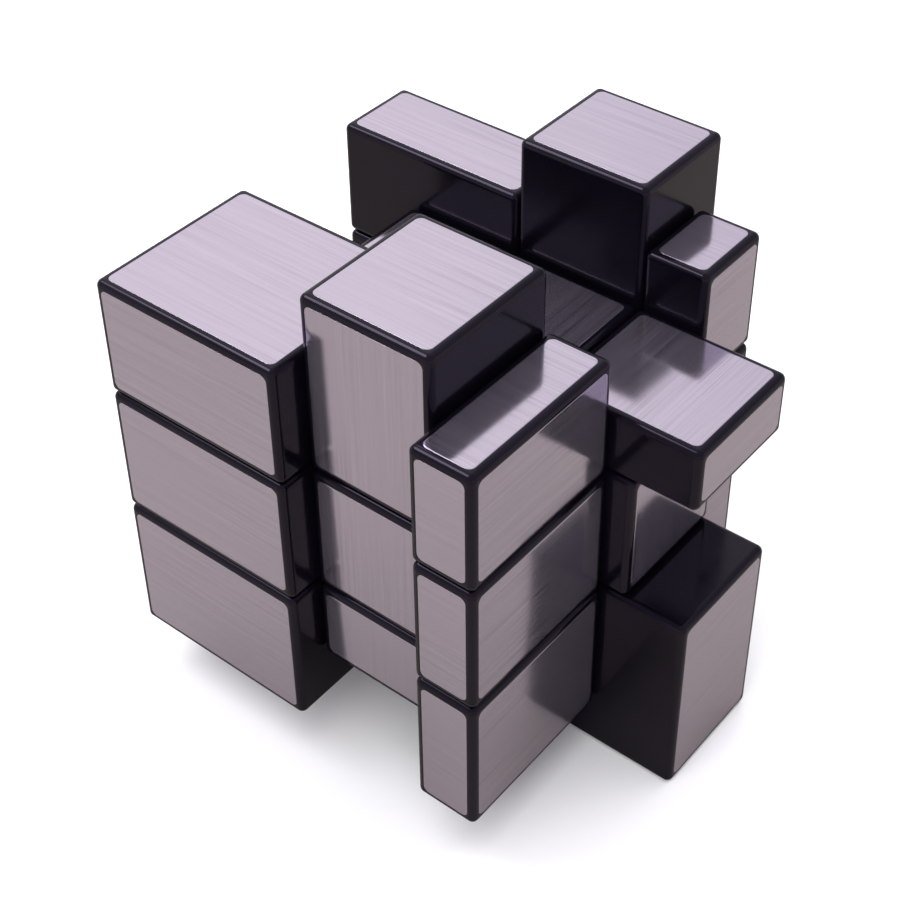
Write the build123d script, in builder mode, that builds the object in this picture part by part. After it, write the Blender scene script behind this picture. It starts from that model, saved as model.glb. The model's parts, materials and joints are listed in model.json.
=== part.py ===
from build123d import *
import os
from itertools import product
from math import sqrt

# Mirror block cube: a 3x3x3 twisting puzzle whose layers all differ in thickness, standing as it is
# left after two quarter turns of its middle slices. Millimetres, +Z up, +X right, -Y front.
# Origin: on the surface the puzzle stands on, under the middle of its outline.

# ---- Driving dimensions ----
CUBE = 57.0  # edge of the solved cube
CELL = 19.0  # thickness of each of the three middle slices
RIGHT_HOME = 18.5  # from the core to the solved cube's right face
BACK_HOME = 22.0
TOP_HOME = 26.5
SEAM = 0.2  # gap between neighbouring blocks
EDGE_ROUND = 0.9  # rounding of every block edge
WALL = 1.5  # plastic wall of the hollow blocks

FOIL_INSET = 1.0  # black margin around each foil
FOIL_THICKNESS = 0.15
FOIL_CORNER = 0.9
FOIL_PLAY = 0.04  # between a foil and the rim of its recess

# The mechanism is made of spheres and cones about the core, so that every layer can turn.
FOOT_INNER = 12.0  # radius of the feet's inner face
FOOT_OUTER = 15.5  # radius where the feet slide under their neighbours
CONE_OUTER = 19.5  # radius where the conical seams turn into flat ones
FOOT_SLOPE = 0.38  # height over radius of the seam between feet
EDGE_PLUG = 17.5  # radius of an edge foot's outer face, which closes the edge block
CORNER_PLUG = 21.5
GLUE = 0.02  # half the play between a foot and its block
RUN = 0.15  # half the running gap between mechanism parts

CORE_BALL = 6.5
ARM_RADIUS = 3.6
ARM_LENGTH = 8.2
STEM_RADIUS = 4.2
STEM_BORE = 3.3
STEM_START = 8.4
STEM_FLOOR = 1.5
CAP_START = 16.6  # a centre block's base ends and its cap begins here

SCREW_RADIUS = 1.25
SCREW_TIP = 3.2
SCREW_HEAD_RADIUS = 2.8
SCREW_HEAD = 1.8
SCREW_TOP = 16.2
SCREW_SLOT = 0.7
THREAD_PLAY = 0.03
SCREW_PLAY = 0.2  # between a screw and the hole in a centre base
WASHER = 0.5
SPRING_WIRE = 0.55
SPRING_RADIUS = 2.3
SPRING_TURNS = 4.5
SPRING_PLAY = 0.05

# ---- Layout ----
HALF = CELL / 2
CONE_SLOPE = HALF / CONE_OUTER
FAR = 60.0  # beyond every block
HOME = {
    (1, 0, 0): RIGHT_HOME,
    (-1, 0, 0): CUBE - RIGHT_HOME,
    (0, 1, 0): BACK_HOME,
    (0, -1, 0): CUBE - BACK_HOME,
    (0, 0, 1): TOP_HOME,
    (0, 0, -1): CUBE - TOP_HOME,
}
SIDES = {
    (1, 0, 0): "right",
    (-1, 0, 0): "left",
    (0, 1, 0): "back",
    (0, -1, 0): "front",
    (0, 0, 1): "top",
    (0, 0, -1): "bottom",
}
LAYERS = {1: "top", 0: "middle", -1: "bottom"}


def dot(a, b):
    return sum(p * q for p, q in zip(a, b))


def cross(a, b):
    return (a[1] * b[2] - a[2] * b[1], a[2] * b[0] - a[0] * b[2], a[0] * b[1] - a[1] * b[0])


def turn_about_x(v):
    """A quarter turn that takes the front to the top."""
    return (v[0], v[2], -v[1])


def turn_about_y(v):
    """A quarter turn that takes the right to the top."""
    return (-v[2], v[1], v[0])


def turn_middle_slice(blocks, axis, turn):
    """Turn the middle slice across one axis and leave the two slices beside it."""
    turned = {}
    for cell, faces in blocks.items():
        if cell[axis] == 0:
            turned[turn(cell)] = {turn(normal): distance for normal, distance in faces.items()}
        else:
            turned[cell] = faces
    return turned


# Each block is known by its cell and the distances from the core to its outward faces.
blocks = {}
for cell in product((-1, 0, 1), repeat=3):
    faces = {normal: HOME[normal] for normal in HOME if dot(normal, cell) == 1}
    if faces:
        blocks[cell] = faces
blocks = turn_middle_slice(blocks, 0, turn_about_x)
blocks = turn_middle_slice(blocks, 1, turn_about_y)


def reach(normal):
    """How far the puzzle reaches from the core along one direction."""
    return max(faces[normal] for faces in blocks.values() if normal in faces)


CORE = Vector(
    (reach((-1, 0, 0)) - reach((1, 0, 0))) / 2,
    (reach((0, -1, 0)) - reach((0, 1, 0))) / 2,
    reach((0, 0, -1)),
)
AXES = [Plane(CORE, z_dir=normal) for normal in HOME]


def name_of(cell):
    """Name a block by the outer sides it lies on, such as top_front_left_corner."""
    steps = ((0, 0, cell[2]), (0, cell[1], 0), (cell[0], 0, 0))
    words = [SIDES[step] for step in steps if step in SIDES]
    kind = {1: "centre", 2: "edge", 3: "corner"}[len(words)]
    return "_".join([*words, kind])


def bounds(cell, faces):
    """The low and high corners of a block's box, from the core."""
    low, high = [], []
    for axis in range(3):
        normal = tuple(cell[axis] if n == axis else 0 for n in range(3))
        ends = [-HALF + SEAM / 2, HALF - SEAM / 2]
        if cell[axis] != 0:
            ends = sorted([cell[axis] * (HALF + SEAM / 2), cell[axis] * faces[normal]])
        low.append(ends[0])
        high.append(ends[1])
    return Vector(*low), Vector(*high)


def facing(cell, normal, origin):
    """A frame along a layer's axis whose +X and +Y don't point away from a block."""
    sides = [side for side in HOME if dot(side, normal) == 0 and dot(side, cell) >= 0]
    for side, other in product(sides, sides):
        if cross(side, other) == normal:
            return Plane(origin, x_dir=side, z_dir=normal)


def turned_away(cell, origin):
    """A frame whose +X points away from an edge or corner block."""
    return Plane(origin, x_dir=[-step for step in cell], z_dir=cross(cell, (0, 0, 1)))


def foil_plane(cell, faces, normal):
    """The plane of an outward face, centred on it, with that face's width and height."""
    low, high = bounds(cell, faces)
    along = (0, 1, 0) if normal[0] else (1, 0, 0)
    middle = (low + high) / 2
    middle += Vector(*normal) * (faces[normal] - dot(tuple(middle), normal))
    size = high - low
    width = abs(dot(tuple(size), along))
    height = abs(dot(tuple(size), cross(normal, along)))
    return Plane(CORE + middle, x_dir=along, z_dir=normal), width, height


# ---- The seams, as solids about +Z that are taken away from the pieces beside them ----
# Their outline is drawn on a diagonal, so that the line where the revolved faces close misses the pieces.
ORIGIN = (0, 0, 0)
OUTLINE_PLANE = Plane(ORIGIN, x_dir=(-1, -1, 0), z_dir=(-1, 1, 0))


def seam_point(radius, slope, gap):
    """A point of the seam's outline, at a distance from the core."""
    height = slope * radius + gap
    return (sqrt(radius**2 - height**2), height)


def seam_middle(radius, gap):
    """A point on the step between the two cones."""
    height = (FOOT_SLOPE + CONE_SLOPE) / 2 * radius + gap
    return (sqrt(radius**2 - height**2), height)


# Everything in a turning layer, grown by the running gap: it is taken from pieces outside the layer.
with BuildPart() as layer_space:
    step = FOOT_OUTER + RUN
    with BuildSketch(OUTLINE_PLANE):
        with BuildLine():
            inner = seam_point(CORE_BALL, FOOT_SLOPE, -RUN)
            under = seam_point(step, FOOT_SLOPE, -RUN)
            over = seam_point(step, CONE_SLOPE, -RUN)
            flat = seam_point(CONE_OUTER, CONE_SLOPE, -SEAM / 2)
            Polyline((0, FAR), (0, inner[1]), inner, under)
            ThreePointArc(under, seam_middle(step, -RUN), over)
            Polyline(over, flat, (FAR, flat[1]), (FAR, FAR), (0, FAR))
        make_face()
    revolve(axis=Axis.Z)

# Everything outside a turning layer, grown by the running gap: it is taken from pieces in the layer.
with BuildPart() as rest_space:
    step = FOOT_OUTER - RUN
    with BuildSketch(OUTLINE_PLANE):
        with BuildLine():
            inner = seam_point(FOOT_INNER, FOOT_SLOPE, RUN)
            under = seam_point(step, FOOT_SLOPE, RUN)
            over = seam_point(step, CONE_SLOPE, RUN)
            flat = seam_point(CONE_OUTER, CONE_SLOPE, SEAM / 2)
            Polyline((FAR, -FAR), (FAR, flat[1]), flat, over)
            ThreePointArc(over, seam_middle(step, RUN), under)
            Line(under, inner)
            diagonal = FOOT_INNER * sqrt(0.5)
            ThreePointArc(inner, (diagonal, diagonal), (0, FOOT_INNER))
            Polyline((0, FOOT_INNER), (0, -FAR), (FAR, -FAR))
        make_face()
    revolve(axis=Axis.Z)

# ---- The feet and centre bases, each modelled once about the core ----
EDGE_CELL = (1, 0, 1)
CORNER_CELL = (1, 1, 1)


def take_seams(cell, origin):
    """Cut the piece being built at the seams of the layers that it lies in and beside."""
    for normal in HOME:
        if dot(normal, cell) == 1:
            with Locations(facing(cell, normal, origin)):
                add(rest_space.part, mode=Mode.SUBTRACT)
        elif dot(normal, cell) == 0:
            with Locations(facing(cell, normal, origin)):
                add(layer_space.part, mode=Mode.SUBTRACT)


# An edge foot's ends slide under the two centre bases beside it.
with BuildPart() as edge_foot:
    with Locations(turned_away(EDGE_CELL, ORIGIN)):
        Sphere(EDGE_PLUG - GLUE)
    take_seams(EDGE_CELL, ORIGIN)

# A corner foot slides under the three edge blocks beside it.
with BuildPart() as corner_foot:
    with Locations(turned_away(CORNER_CELL, ORIGIN)):
        Sphere(CORNER_PLUG - GLUE)
    take_seams(CORNER_CELL, ORIGIN)

# The centre base is a square plate that overhangs the feet, on a stem that turns about its screw.
with BuildPart() as centre_base:
    with BuildSketch(Plane.XY.offset(STEM_START)):
        Rectangle(CELL - SEAM, CELL - SEAM)
    extrude(amount=CAP_START - GLUE - STEM_START)
    Sphere(FOOT_OUTER + RUN, mode=Mode.SUBTRACT)
    for normal in ((1, 0, 0), (-1, 0, 0), (0, 1, 0), (0, -1, 0)):
        with Locations(Plane(ORIGIN, z_dir=normal)):
            add(layer_space.part, mode=Mode.SUBTRACT)
    with BuildSketch(Plane.XY.offset(STEM_START)):
        Circle(STEM_RADIUS)
    extrude(amount=CAP_START - GLUE - STEM_START)
    with BuildSketch(Plane.XY.offset(STEM_START + STEM_FLOOR)):
        Circle(STEM_BORE)
    extrude(amount=CAP_START, mode=Mode.SUBTRACT)
    with BuildSketch(Plane.XY.offset(STEM_START)):
        Circle(SCREW_RADIUS + SCREW_PLAY)
    extrude(amount=STEM_FLOOR, mode=Mode.SUBTRACT)

# ---- Screw, washer and spring, each modelled once along +Z ----
SPRING_START = STEM_START + STEM_FLOOR + SPRING_PLAY + SPRING_WIRE / 2
WASHER_START = SCREW_TOP - SCREW_HEAD - WASHER
SPRING_LENGTH = WASHER_START - SPRING_PLAY - SPRING_WIRE / 2 - SPRING_START

with BuildPart() as screw:
    with BuildSketch(Plane.XY.offset(SCREW_TIP)):
        Circle(SCREW_RADIUS)
    extrude(amount=SCREW_TOP - SCREW_HEAD - SCREW_TIP)
    chamfer(screw.edges().sort_by(Axis.Z)[0], SCREW_RADIUS / 2)
    with BuildSketch(Plane.XY.offset(SCREW_TOP - SCREW_HEAD)):
        Circle(SCREW_HEAD_RADIUS)
    extrude(amount=SCREW_HEAD)
    fillet(screw.edges().sort_by(Axis.Z)[-1], SCREW_HEAD / 3)
    with BuildSketch(Plane.XY.offset(SCREW_TOP)):
        Rectangle(SCREW_HEAD_RADIUS, SCREW_SLOT)
        Rectangle(SCREW_SLOT, SCREW_HEAD_RADIUS)
    extrude(amount=-SCREW_HEAD / 2, mode=Mode.SUBTRACT)

with BuildPart() as washer:
    with BuildSketch(Plane.XY.offset(WASHER_START)):
        Circle(SCREW_HEAD_RADIUS)
        Circle(SCREW_RADIUS + SCREW_PLAY, mode=Mode.SUBTRACT)
    extrude(amount=WASHER - GLUE)

with BuildPart() as spring:
    with BuildLine() as coil:
        Helix(SPRING_LENGTH / SPRING_TURNS, SPRING_LENGTH, SPRING_RADIUS, center=(0, 0, SPRING_START))
    with BuildSketch(Plane(coil.line @ 0, z_dir=coil.line % 0)):
        Circle(SPRING_WIRE / 2)
    sweep(path=coil.line, is_frenet=True)

# ---- Core with six arms, and what is screwed into them ----
with BuildPart() as core:
    with Locations(Location(CORE)):
        Sphere(CORE_BALL)
    for axis in AXES:
        with BuildSketch(axis):
            Circle(ARM_RADIUS)
        extrude(amount=ARM_LENGTH)
    for axis in AXES:
        with BuildSketch(axis.offset(SCREW_TIP - THREAD_PLAY)):
            Circle(SCREW_RADIUS + THREAD_PLAY)
        extrude(amount=ARM_LENGTH, mode=Mode.SUBTRACT)

with BuildPart() as screws:
    with Locations(*AXES):
        add(screw.part)

with BuildPart() as washers:
    with Locations(*AXES):
        add(washer.part)

with BuildPart() as springs:
    with Locations(*AXES):
        add(spring.part)

os.makedirs("parts", exist_ok=True)
core.part.label = "core"
export_step(core.part, "parts/core.step")
screws.part.label = "centre_screws"
export_step(screws.part, "parts/centre_screws.step")
washers.part.label = "screw_washers"
export_step(washers.part, "parts/screw_washers.step")
springs.part.label = "tension_springs"
export_step(springs.part, "parts/tension_springs.step")


# ---- The 26 blocks ----
def outer_box(low, high):
    """A block's box with rounded edges, added to the part being built."""
    with Locations(CORE + (low + high) / 2):
        Box(*tuple(high - low))
    fillet(edges(), EDGE_ROUND)


def take_layers_beside(cell):
    """Take the neighbouring layers' conical seams from a block that lies outside them."""
    for normal in HOME:
        if dot(normal, cell) == 0:
            with Locations(Plane(CORE, z_dir=normal)):
                add(layer_space.part, mode=Mode.SUBTRACT)


def recess_foils(cell, faces):
    """Sink a shallow recess for the foil into every outward face."""
    for normal in faces:
        plane, width, height = foil_plane(cell, faces, normal)
        with BuildSketch(plane) as outline:
            RectangleRounded(width - 2 * FOIL_INSET, height - 2 * FOIL_INSET, FOIL_CORNER)
        extrude(outline.sketch, amount=-FOIL_THICKNESS, mode=Mode.SUBTRACT)


# Centre blocks: a cap, hollow unless it is too thin, on a base.
for cell in [cell for cell, faces in blocks.items() if len(faces) == 1]:
    faces = blocks[cell]
    normal = cell
    low, high = bounds(cell, faces)
    with BuildPart() as centre_cap:
        outer_box(low, high)
        with BuildSketch(Plane(CORE, z_dir=normal)):
            Rectangle(CELL, CELL)
        extrude(amount=CAP_START, mode=Mode.SUBTRACT)
        take_layers_beside(cell)
        if faces[normal] - CAP_START > 2 * WALL:
            with BuildSketch(Plane(CORE, z_dir=normal)):
                Rectangle(CELL - SEAM - 2 * WALL, CELL - SEAM - 2 * WALL)
            extrude(amount=faces[normal] - WALL, mode=Mode.SUBTRACT)
        recess_foils(cell, faces)
    centre_cap.part.label = name_of(cell) + "_cap"
    export_step(centre_cap.part, "parts/" + centre_cap.part.label + ".step")

    with BuildPart() as base:
        with Locations(Plane(CORE, z_dir=normal)):
            add(centre_base.part)
    base.part.label = name_of(cell) + "_base"
    export_step(base.part, "parts/" + base.part.label + ".step")

# Edge and corner blocks: a hollow shell that its foot closes on the side of the core.
for cell in [cell for cell, faces in blocks.items() if len(faces) > 1]:
    faces = blocks[cell]
    normals = list(faces)
    low, high = bounds(cell, faces)
    is_corner = len(faces) == 3
    with BuildPart() as shell:
        outer_box(low, high)
        take_layers_beside(cell)
        with Locations(Location(CORE)):
            Sphere(CORNER_PLUG if is_corner else EDGE_PLUG, mode=Mode.SUBTRACT)
        with Locations(CORE + (low + high) / 2):
            Box(*[side - 2 * WALL for side in tuple(high - low)], mode=Mode.SUBTRACT)
        recess_foils(cell, faces)
    shell.part.label = name_of(cell) + "_shell"
    export_step(shell.part, "parts/" + shell.part.label + ".step")

    # The plane puts the modelled foot's +X and +Z layers on two of this block's layers.
    first, last = normals[0], normals[-1]
    if is_corner and cross(last, first) != normals[1]:
        first, last = last, first
    with BuildPart() as foot:
        with Locations(Plane(CORE, x_dir=first, z_dir=last)):
            add(corner_foot.part if is_corner else edge_foot.part)
    foot.part.label = name_of(cell) + "_foot"
    export_step(foot.part, "parts/" + foot.part.label + ".step")

# ---- Brushed metal foils: one node for each layer that turns as a whole ----
for height, layer in LAYERS.items():
    with BuildPart() as foils:
        for cell in [cell for cell in blocks if cell[2] == height]:
            for normal in blocks[cell]:
                plane, width, length = foil_plane(cell, blocks[cell], normal)
                with BuildSketch(plane):
                    margin = 2 * FOIL_INSET + 2 * FOIL_PLAY
                    RectangleRounded(width - margin, length - margin, FOIL_CORNER - FOIL_PLAY)
                extrude(amount=-FOIL_THICKNESS)
    foils.part.label = layer + "_layer_foils"
    export_step(foils.part, "parts/" + foils.part.label + ".step")
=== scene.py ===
import json
import math
import random
from itertools import product

import bmesh
import bpy
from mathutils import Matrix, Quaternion, Vector


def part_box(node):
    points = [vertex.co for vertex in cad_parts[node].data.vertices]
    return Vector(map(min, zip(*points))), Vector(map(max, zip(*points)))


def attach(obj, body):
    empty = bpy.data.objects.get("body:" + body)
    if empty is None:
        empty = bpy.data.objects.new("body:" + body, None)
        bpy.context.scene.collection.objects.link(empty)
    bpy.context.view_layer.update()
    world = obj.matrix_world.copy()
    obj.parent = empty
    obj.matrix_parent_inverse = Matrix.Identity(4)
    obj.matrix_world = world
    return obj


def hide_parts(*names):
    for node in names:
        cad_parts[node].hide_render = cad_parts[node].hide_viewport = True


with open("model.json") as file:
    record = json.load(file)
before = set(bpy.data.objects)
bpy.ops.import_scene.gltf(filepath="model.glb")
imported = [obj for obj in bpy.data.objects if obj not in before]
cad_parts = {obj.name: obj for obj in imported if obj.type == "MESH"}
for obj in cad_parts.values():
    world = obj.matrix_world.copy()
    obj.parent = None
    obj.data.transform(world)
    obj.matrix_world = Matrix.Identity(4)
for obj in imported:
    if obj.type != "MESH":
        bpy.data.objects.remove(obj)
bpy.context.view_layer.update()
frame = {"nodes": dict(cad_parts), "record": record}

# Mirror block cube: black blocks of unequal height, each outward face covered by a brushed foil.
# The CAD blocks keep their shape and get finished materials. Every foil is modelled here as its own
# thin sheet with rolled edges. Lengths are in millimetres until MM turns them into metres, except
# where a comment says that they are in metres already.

MM = 0.001

# ---- Camera, as an angle and a distance from the puzzle's core ----
CAMERA_AZIMUTH = 39.3
CAMERA_ELEVATION = 38.3
CAMERA_ROLL = 0.8
CAMERA_DISTANCE = 231.8
CAMERA_AIM = Vector((-11.7, -1.4, 8.0))  # where the optical axis passes, from the core
CAMERA_LENS = 72.3
CAMERA_SENSOR = 36
CAMERA_SHIFT = -0.111
CAMERA_NEAREST = 0.01  # metres

# ---- Blocks ----
SIDES = {
    (1, 0, 0): "right",
    (-1, 0, 0): "left",
    (0, 1, 0): "back",
    (0, -1, 0): "front",
    (0, 0, 1): "top",
    (0, 0, -1): "bottom",
}
BLOCK_KINDS = {1: "centre", 2: "edge", 3: "corner"}  # by how many outward faces a block has
# The brushing of the solved cube's six sides.
BRUSHED_ALONG = {
    (1, 0, 0): (0, 1, 0),
    (-1, 0, 0): (0, 1, 0),
    (0, 1, 0): (1, 0, 0),
    (0, -1, 0): (1, 0, 0),
    (0, 0, 1): (1, 0, 0),
    (0, 0, -1): (0, 1, 0),
}

# ---- Foils ----
FOIL_INSET = 1.0  # black margin between a block's edge and its foil
FOIL_PLAY = 0.04
FOIL_CORNER = 0.86
CORNER_STEPS = 10
# The sheet's edge from its underside up to its flat: how far in from the outline, and how high.
FOIL_EDGE = [(0, -0.14), (0, -0.008), (0.03, 0.003), (0.07, 0.012), (0.12, 0.018), (0.18, 0.02)]
PATTERN_SPREAD = 400  # how far apart the foils' places in the brushed pattern lie
PATTERN_SEED = 26

# ---- Finishes. A foil's noises have cells per millimetre, along the brushing and across it ----
HAIRLINES = (0.09, 5.5, 1)
STREAKS = (0.035, 1.7, 1)
PATCHES = (0.04, 0.16, 1)
NOISE_MIDDLE = 0.5
FOIL_TONES = [
    (0.34, (0.51, 0.45, 0.535)),
    (0.5, (0.605, 0.538, 0.64)),
    (0.66, (0.675, 0.603, 0.712)),
]
FOIL_RELIEF = 0.0012
# The other noises have cells per metre.
MOULD_TEXTURE = (350, 350, 350)
WIPING_MARKS = (60, 900, 160)
BLACK_CLOUDS = (55, 55, 55)
BLACK_TONES = [(0.35, (0.0018, 0.0014, 0.003)), (0.65, (0.004, 0.0032, 0.0062))]
BLACK_RELIEF = 0.002
ERODED_GRAIN = (2500, 2500, 2500)
MOULDED_CLOUDS = (120, 120, 120)
ERODED_RELIEF = 0.01
TURNED_LINES = (900, 900, 900)
DRAWN_LINES = (1500, 1500, 1500)
STEEL_RELIEF = 0.004

# ---- Stage: tones are linear, and sizes of the floor and the lights are in metres ----
FLOOR_SIZE = 20.0
FLOOR_DROP = 0.03  # millimetres: the foils under the puzzle stand a little less proud than this
FLOOR_TONE = (0.88, 0.87, 0.85, 1)
# Painted shade: the floor's colour as the foils mirror it, darker than its own tone.
FLOOR_PAINTED_SHADE_IN_FOILS = (0.272, 0.25, 0.222, 1)
PANEL_AZIMUTH = 234  # nearly opposite the camera, where the top foils mirror it
PANEL_ELEVATION = 37
PANEL_TONE = (0.98, 0.96, 0.99)
NEAR_PANEL_TONE = (0.6, 0.58, 0.66)
WALL_TONE = (0.4, 0.39, 0.47)
# The cosine of the angle from the panel's middle at which each tone is reached.
SURROUNDINGS = [(0.3, WALL_TONE), (0.84, NEAR_PANEL_TONE), (0.985, PANEL_TONE)]
HORIZON_TONE = (0.9, 0.9, 0.92, 1)
HORIZON_HEIGHTS = (0.03, 0.22)  # the sines of the elevations between which the horizon fades out
LIGHT_DISTANCE = 0.9
KEY_WIDTH = 0.4
KEY_HEIGHT = 0.3
KEY_WATTS = 2
KEY_COLOUR = (0.92, 0.93, 1)
FILL_BREADTH = 60  # degrees
FILL_COLOUR = (0.97, 0.98, 1)


def core_centre():
    low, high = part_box("core")
    return (low + high) / 2


# ---- Material helpers ----
def new_material(name):
    material = bpy.data.materials.new(name)
    material.use_nodes = True
    nodes = material.node_tree.nodes
    return material, nodes, material.node_tree.links, nodes["Principled BSDF"]


def stretched_noise(nodes, links, vector, stretch, detail):
    """A noise whose grain is longer along the axes with a smaller stretch."""
    mapping = nodes.new("ShaderNodeMapping")
    mapping.inputs["Scale"].default_value = stretch
    noise = nodes.new("ShaderNodeTexNoise")
    noise.inputs["Scale"].default_value = 1.0
    noise.inputs["Detail"].default_value = detail
    links.new(vector, mapping.inputs["Vector"])
    links.new(mapping.outputs["Vector"], noise.inputs["Vector"])
    return noise.outputs["Fac"]


def ramp(nodes, links, value, stops):
    """Turn a value into a colour through stops of (position, colour)."""
    node = nodes.new("ShaderNodeValToRGB")
    elements = node.color_ramp.elements
    while len(elements) < len(stops):
        elements.new(0.5)
    for element, (position, colour) in zip(elements, stops):
        element.position = position
        element.color = (*colour, 1)
    links.new(value, node.inputs["Fac"])
    return node.outputs["Color"]


def spread(nodes, links, value, low, high, start=0.3, end=0.7):
    """Map the part of a value's range between start and end to the numbers from low to high."""
    node = nodes.new("ShaderNodeMapRange")
    node.inputs["From Min"].default_value = start
    node.inputs["From Max"].default_value = end
    node.inputs["To Min"].default_value = low
    node.inputs["To Max"].default_value = high
    links.new(value, node.inputs["Value"])
    return node.outputs["Result"]


def mixed(nodes, links, first, second, share):
    """Blend two values, with the second's share."""
    node = nodes.new("ShaderNodeMix")
    node.inputs["Factor"].default_value = share
    links.new(first, node.inputs["A"])
    links.new(second, node.inputs["B"])
    return node.outputs["Result"]


def faded(nodes, links, value, depth):
    """Draw a noise towards its middle where the depth is small."""
    node = nodes.new("ShaderNodeMix")
    node.inputs["A"].default_value = NOISE_MIDDLE
    links.new(value, node.inputs["B"])
    links.new(depth, node.inputs["Factor"])
    return node.outputs["Result"]


def bumped(nodes, links, shader, height, depth):
    """Relief of a real depth, in millimetres."""
    node = nodes.new("ShaderNodeBump")
    node.inputs["Strength"].default_value = 1.0
    node.inputs["Distance"].default_value = depth * MM
    links.new(height, node.inputs["Height"])
    links.new(node.outputs["Normal"], shader.inputs["Normal"])


# ---- Materials ----
def brushed_foil():
    """Mirror-like foil. The mesh's U runs along the brushing and V across it, in millimetres."""
    material, nodes, links, shader = new_material("brushed_foil")
    uv = nodes.new("ShaderNodeUVMap")
    uv.uv_map = "brush"
    hairlines = stretched_noise(nodes, links, uv.outputs["UV"], HAIRLINES, detail=3)
    streaks = stretched_noise(nodes, links, uv.outputs["UV"], STREAKS, detail=2)
    patches = stretched_noise(nodes, links, uv.outputs["UV"], PATCHES, detail=1)
    depth = spread(nodes, links, patches, low=0.25, high=1.0, start=0.35, end=0.6)
    brushing = faded(nodes, links, mixed(nodes, links, hairlines, streaks, share=0.6), depth)
    metal = spread(nodes, links, brushing, low=0.9, high=0.99)
    roughness = spread(nodes, links, brushing, low=0.16, high=0.09)
    links.new(ramp(nodes, links, brushing, FOIL_TONES), shader.inputs["Base Color"])
    links.new(metal, shader.inputs["Metallic"])
    links.new(roughness, shader.inputs["Roughness"])
    bumped(nodes, links, shader, mixed(nodes, links, brushing, patches, share=0.3), FOIL_RELIEF)
    tangent = nodes.new("ShaderNodeTangent")
    tangent.direction_type = "UV_MAP"
    tangent.uv_map = "brush"
    links.new(tangent.outputs["Tangent"], shader.inputs["Tangent"])
    shader.inputs["Anisotropic"].default_value = 0.6
    shader.inputs["Anisotropic Rotation"].default_value = 0.25
    return material


def polished_black():
    """Glossy black ABS with a faint mould texture, fine wiping marks and a little settled dust."""
    material, nodes, links, shader = new_material("polished_black")
    place = nodes.new("ShaderNodeTexCoord").outputs["Object"]
    mould = stretched_noise(nodes, links, place, MOULD_TEXTURE, detail=2)
    marks = stretched_noise(nodes, links, place, WIPING_MARKS, detail=3)
    clouds = stretched_noise(nodes, links, place, BLACK_CLOUDS, detail=4)
    wear = mixed(nodes, links, clouds, marks, share=0.5)
    roughness = spread(nodes, links, wear, low=0.11, high=0.2)
    links.new(ramp(nodes, links, clouds, BLACK_TONES), shader.inputs["Base Color"])
    links.new(roughness, shader.inputs["Roughness"])
    bumped(nodes, links, shader, mould, BLACK_RELIEF)
    shader.inputs["IOR"].default_value = 1.5
    shader.inputs["Specular IOR Level"].default_value = 0.32
    shader.inputs["Specular Tint"].default_value = (0.9, 0.76, 1, 1)
    return material


def moulded(name, light, dark, roughness):
    """Plain moulded plastic of the hidden mechanism, with a fine spark-eroded grain."""
    material, nodes, links, shader = new_material(name)
    place = nodes.new("ShaderNodeTexCoord").outputs["Object"]
    grain = stretched_noise(nodes, links, place, ERODED_GRAIN, detail=3)
    clouds = stretched_noise(nodes, links, place, MOULDED_CLOUDS, detail=3)
    duller = spread(nodes, links, grain, low=roughness, high=roughness + 0.2)
    links.new(ramp(nodes, links, clouds, [(0.3, dark), (0.7, light)]), shader.inputs["Base Color"])
    links.new(duller, shader.inputs["Roughness"])
    bumped(nodes, links, shader, grain, ERODED_RELIEF)
    return material


def plain_steel(name, light, dark, roughness, stretch):
    """Turned or drawn steel with fine tool lines."""
    material, nodes, links, shader = new_material(name)
    place = nodes.new("ShaderNodeTexCoord").outputs["Object"]
    lines = stretched_noise(nodes, links, place, stretch, detail=3)
    duller = spread(nodes, links, lines, low=roughness, high=roughness + 0.15)
    links.new(ramp(nodes, links, lines, [(0.35, dark), (0.65, light)]), shader.inputs["Base Color"])
    links.new(duller, shader.inputs["Roughness"])
    bumped(nodes, links, shader, lines, STEEL_RELIEF)
    shader.inputs["Metallic"].default_value = 1.0
    return material


FOIL = brushed_foil()
FINISHES = {
    "black_block_plastic": polished_black(),
    "foot_plastic": moulded("foot_plastic", (0.03, 0.03, 0.034), (0.015, 0.015, 0.017), 0.45),
    "core_plastic": moulded("core_plastic", (0.78, 0.77, 0.72), (0.66, 0.65, 0.6), 0.4),
    "screw_steel": plain_steel("screw_steel", (0.72, 0.72, 0.74), (0.5, 0.5, 0.53), 0.2, TURNED_LINES),
    "spring_steel": plain_steel("spring_steel", (0.6, 0.6, 0.62), (0.4, 0.4, 0.42), 0.25, DRAWN_LINES),
}


def finish_cad_nodes():
    """Give every CAD node that stays in view the finish of its material slot."""
    for part in frame["record"]["subparts"]:
        if part["material_slot"] in FINISHES:
            mesh = frame["nodes"][part["node"]].data
            for index in range(len(mesh.materials)):
                mesh.materials[index] = FINISHES[part["material_slot"]]


# ---- Which way each foil is brushed, after the two quarter turns that the puzzle was left in ----
def dot(a, b):
    return sum(p * q for p, q in zip(a, b))


def turn_about_x(v):
    """A quarter turn that takes the front to the top."""
    return (v[0], v[2], -v[1])


def turn_about_y(v):
    """A quarter turn that takes the right to the top."""
    return (-v[2], v[1], v[0])


def turn_middle_slice(blocks, axis, turn):
    turned = {}
    for cell, brushing in blocks.items():
        if cell[axis] == 0:
            turned[turn(cell)] = {turn(normal): turn(along) for normal, along in brushing.items()}
        else:
            turned[cell] = brushing
    return turned


def scrambled_blocks():
    """Each block's cell, with the brushing of each of its foils."""
    blocks = {}
    for cell in product((-1, 0, 1), repeat=3):
        brushing = {normal: BRUSHED_ALONG[normal] for normal in SIDES if dot(normal, cell) == 1}
        if brushing:
            blocks[cell] = brushing
    blocks = turn_middle_slice(blocks, 0, turn_about_x)
    return turn_middle_slice(blocks, 1, turn_about_y)


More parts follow.
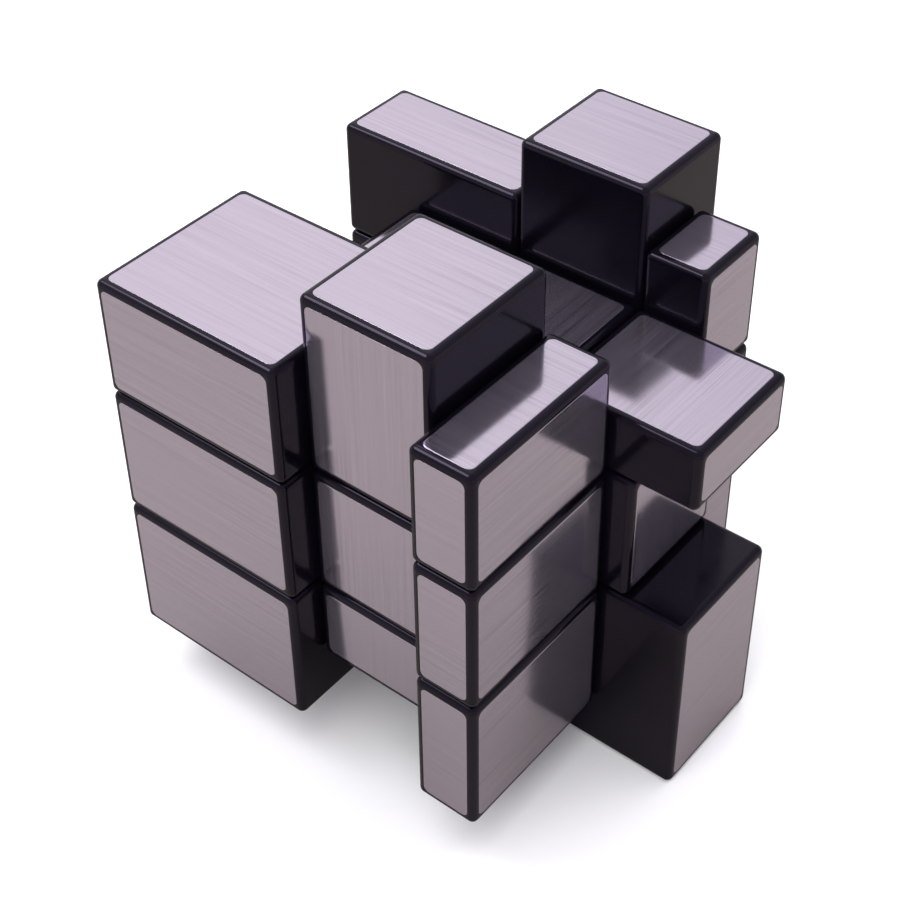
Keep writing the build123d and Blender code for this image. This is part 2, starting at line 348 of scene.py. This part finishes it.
def name_of(cell):
    """The name of a block, such as top_front_left_corner."""
    outward = ((0, 0, cell[2]), (0, cell[1], 0), (cell[0], 0, 0))
    words = [SIDES[normal] for normal in outward if normal in SIDES]
    return "_".join(words + [BLOCK_KINDS[len(words)]])


# ---- Foils ----
def add_object(name, shape, material):
    """Turn a finished bmesh into an object in the scene."""
    mesh = bpy.data.meshes.new(name)
    shape.to_mesh(mesh)
    shape.free()
    mesh.materials.append(material)
    added = bpy.data.objects.new(name, mesh)
    bpy.context.scene.collection.objects.link(added)
    return added


def rounded_outline(width, height, radius):
    """Points round a rectangle with round corners, anticlockwise from the right."""
    points = []
    for quarter, (side, end) in enumerate(((1, 1), (-1, 1), (-1, -1), (1, -1))):
        middle = Vector((side * (width / 2 - radius), end * (height / 2 - radius)))
        for step in range(CORNER_STEPS + 1):
            angle = (quarter + step / CORNER_STEPS) * math.pi / 2
            points.append(middle + radius * Vector((math.cos(angle), math.sin(angle))))
    return points


def make_foil(name, middle, normal, along, width, height):
    """A thin sheet centred on a face, its edges rolled down. Width runs along the brushing."""
    across = normal.cross(along)
    shape = bmesh.new()
    uv = shape.loops.layers.uv.new("brush")
    offset = Vector((random.uniform(0, PATTERN_SPREAD), random.uniform(0, PATTERN_SPREAD)))
    flat_place = {}
    rings = []
    for inset, rise in FOIL_EDGE:
        ring = []
        for point in rounded_outline(width - 2 * inset, height - 2 * inset, FOIL_CORNER - inset):
            vertex = shape.verts.new(middle + (along * point.x + across * point.y + normal * rise) * MM)
            flat_place[vertex] = point
            ring.append(vertex)
        rings.append(ring)
    for lower, upper in zip(rings, rings[1:]):
        for index in range(len(lower)):
            after = (index + 1) % len(lower)
            strip = shape.faces.new((lower[index], lower[after], upper[after], upper[index]))
            strip.smooth = lower is not rings[0]
    shape.faces.new(rings[-1]).smooth = True
    shape.faces.new(reversed(rings[0]))
    for face in shape.faces:
        for loop in face.loops:
            loop[uv].uv = flat_place[loop.vert] + offset
    return add_object(name, shape, FOIL)


def make_foils():
    """One sheet for every outward face, placed by the box of its block."""
    random.seed(PATTERN_SEED)
    bodies = frame["record"]["behaviour"]["bodies"]
    body_of = {node: body for body, nodes in bodies.items() for node in nodes}
    margin = 2 * (FOIL_INSET + FOIL_PLAY)
    for cell, brushing in scrambled_blocks().items():
        node = name_of(cell) + ("_cap" if len(brushing) == 1 else "_shell")
        body = body_of[node]
        low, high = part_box(node)
        for side, along in brushing.items():
            normal, along = Vector(side), Vector(along)
            middle = (low + high) / 2 + normal * abs((high - low).dot(normal)) / 2
            width = abs((high - low).dot(along)) / MM - margin
            height = abs((high - low).dot(normal.cross(along))) / MM - margin
            foil = make_foil(f"{name_of(cell)}_{SIDES[side]}_foil", middle, normal, along, width, height)
            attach(foil, body)
            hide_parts(body + "_foils")


# ---- Stage ----
def make_floor():
    """A plain pale floor. It looks darker in the foils than to the eye, because glossy rays get a
    painted shade instead of its own tone.
    """
    material, nodes, links, shader = new_material("pale_floor")
    path = nodes.new("ShaderNodeLightPath")
    tone = nodes.new("ShaderNodeMix")
    tone.data_type = "RGBA"
    tone.inputs["A"].default_value = FLOOR_TONE
    tone.inputs["B"].default_value = FLOOR_PAINTED_SHADE_IN_FOILS
    # Glossy rays get the painted shade tone; camera and diffuse rays get the floor's own pale tone.
    links.new(path.outputs["Is Glossy Ray"], tone.inputs["Factor"])
    links.new(tone.outputs["Result"], shader.inputs["Base Color"])
    shader.inputs["Roughness"].default_value = 0.9
    shader.inputs["Specular IOR Level"].default_value = 0.1
    shape = bmesh.new()
    corners = [(-1, -1), (1, -1), (1, 1), (-1, 1)]
    half = FLOOR_SIZE / 2
    shape.faces.new([shape.verts.new((x * half, y * half, -FLOOR_DROP * MM)) for x, y in corners])
    floor = add_object("floor", shape, material)


def direction(azimuth, elevation):
    """From the puzzle towards a place round it. Azimuth 0 is in front and 90 on the right."""
    turn, rise = math.radians(azimuth), math.radians(elevation)
    return Vector((math.sin(turn) * math.cos(rise), -math.cos(turn) * math.cos(rise), math.sin(rise)))


def make_surroundings():
    """A soft studio: a broad bright panel behind the puzzle, dimmer walls and a pale horizon."""
    world = bpy.data.worlds.new("studio")
    bpy.context.scene.world = world
    world.use_nodes = True
    nodes, links = world.node_tree.nodes, world.node_tree.links
    place = nodes.new("ShaderNodeTexCoord").outputs["Generated"]
    nearness = nodes.new("ShaderNodeVectorMath")
    nearness.operation = "DOT_PRODUCT"
    nearness.inputs[1].default_value = direction(PANEL_AZIMUTH, PANEL_ELEVATION)
    links.new(place, nearness.inputs[0])
    split = nodes.new("ShaderNodeSeparateXYZ")
    links.new(place, split.inputs["Vector"])
    backdrop = nodes.new("ShaderNodeMix")
    backdrop.data_type = "RGBA"
    backdrop.inputs["A"].default_value = HORIZON_TONE
    above = spread(nodes, links, split.outputs["Z"], 0, 1, *HORIZON_HEIGHTS)
    links.new(above, backdrop.inputs["Factor"])
    links.new(ramp(nodes, links, nearness.outputs["Value"], SURROUNDINGS), backdrop.inputs["B"])
    links.new(backdrop.outputs["Result"], nodes["Background"].inputs["Color"])


def make_light(light, azimuth, elevation, colour):
    """Put a light in its direction from the puzzle, facing it."""
    light.color = colour
    lamp = bpy.data.objects.new(light.name, light)
    towards = direction(azimuth, elevation)
    lamp.location = core_centre() + towards * LIGHT_DISTANCE
    lamp.rotation_mode = "QUATERNION"
    lamp.rotation_quaternion = towards.to_track_quat("Z", "Y")
    bpy.context.scene.collection.objects.link(lamp)
    return lamp


def make_key():
    """The softbox that draws a line of light along the rounded edges."""
    light = bpy.data.lights.new("key", "AREA")
    light.shape = "RECTANGLE"
    light.size = KEY_WIDTH
    light.size_y = KEY_HEIGHT
    light.energy = KEY_WATTS
    make_light(light, -60, 54, KEY_COLOUR)


def make_fill(name, azimuth, elevation, strength):
    """Broad light from one side that lights the floor and isn't seen in reflections."""
    light = bpy.data.lights.new(name, "SUN")
    light.angle = math.radians(FILL_BREADTH)
    light.energy = strength
    make_light(light, azimuth, elevation, FILL_COLOUR).visible_glossy = False


def make_camera():
    camera = bpy.data.objects.new("camera", bpy.data.cameras.new("camera"))
    camera.data.lens = CAMERA_LENS
    camera.data.sensor_width = CAMERA_SENSOR
    camera.data.shift_y = CAMERA_SHIFT
    camera.data.clip_start = CAMERA_NEAREST
    back = direction(CAMERA_AZIMUTH, CAMERA_ELEVATION)
    camera.location = core_centre() + (CAMERA_AIM + back * CAMERA_DISTANCE) * MM
    camera.rotation_mode = "QUATERNION"
    roll = Quaternion((0, 0, 1), -math.radians(CAMERA_ROLL))
    camera.rotation_quaternion = back.to_track_quat("Z", "Y") @ roll
    bpy.context.scene.collection.objects.link(camera)
    bpy.context.scene.camera = camera


finish_cad_nodes()
make_foils()
make_floor()
make_surroundings()
make_key()
make_fill("back_fill", 195, 77, 2.2)
make_fill("front_fill", 12, 48, 2)
make_camera()
bpy.context.scene.view_settings.view_transform = "Standard"
